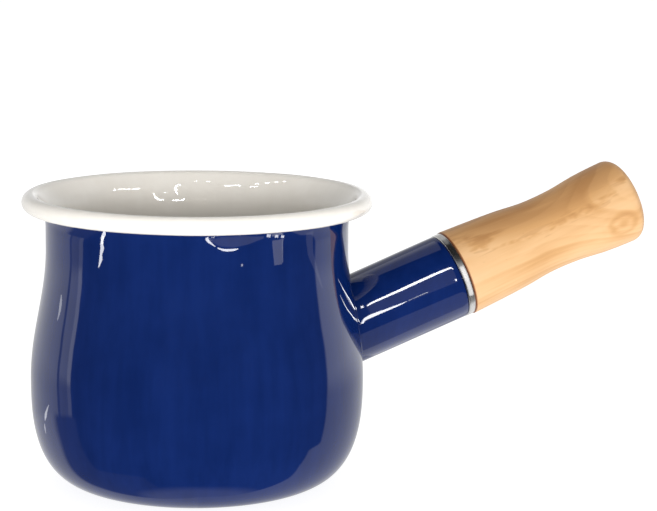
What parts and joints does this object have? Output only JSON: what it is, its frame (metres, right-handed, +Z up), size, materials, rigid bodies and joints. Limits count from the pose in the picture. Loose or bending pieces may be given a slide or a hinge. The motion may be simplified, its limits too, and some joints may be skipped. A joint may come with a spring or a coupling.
{
  "type": "candle melting pot",
  "caption": "Small enamelled steel melting pot with a rolled rim, rounded belly and slanted socket, holding a turned wooden grip behind a bright ferrule that unscrews.",
  "frame": {"origin": "centre of the flat underside, on the pot's axis, in the plane the pot stands on", "axes": "+Z up the pot's axis; +X towards the handle, which leans up in the XZ plane; the pot is symmetric across the XZ plane"},
  "size_m": [0.2222, 0.118, 0.1052],
  "materials": {
    "steel": "bare drawn sheet, sealed under the enamel",
    "navy_enamel": "high gloss vitreous enamel",
    "white_enamel": "high gloss vitreous enamel",
    "plated_steel": "zinc plated",
    "stainless": "polished stainless steel",
    "wood": "clear satin lacquer"
  },
  "bodies": {
    "pot": {"steel_vessel": "steel", "outer_enamel": "navy_enamel", "inner_enamel": "white_enamel", "socket_tube": "steel", "socket_weld": "steel", "socket_enamel": "navy_enamel", "socket_bridge": "plated_steel", "weld_nut": "plated_steel"},
    "collar": {"ferrule": "stainless"},
    "grip": {"wood_handle": "wood", "threaded_insert": "plated_steel", "handle_stud": "plated_steel"}
  },
  "joints": [
    {"name": "handle_back_off", "type": "slide", "parent": "pot", "child": "collar", "axis": [0.9345, 0, 0.3559], "range_m": [0, 0.01]},
    {"name": "handle_unscrew", "type": "hinge", "parent": "collar", "child": "grip", "pos_m": [0, 0, 0.0315], "axis": [0.9345, 0, 0.3559], "range_deg": [0, 2880]}
  ],
  "couplings": [
    {"joint": "handle_back_off", "follows": "handle_unscrew", "m_per_rad": 0.00019894}
  ]
}
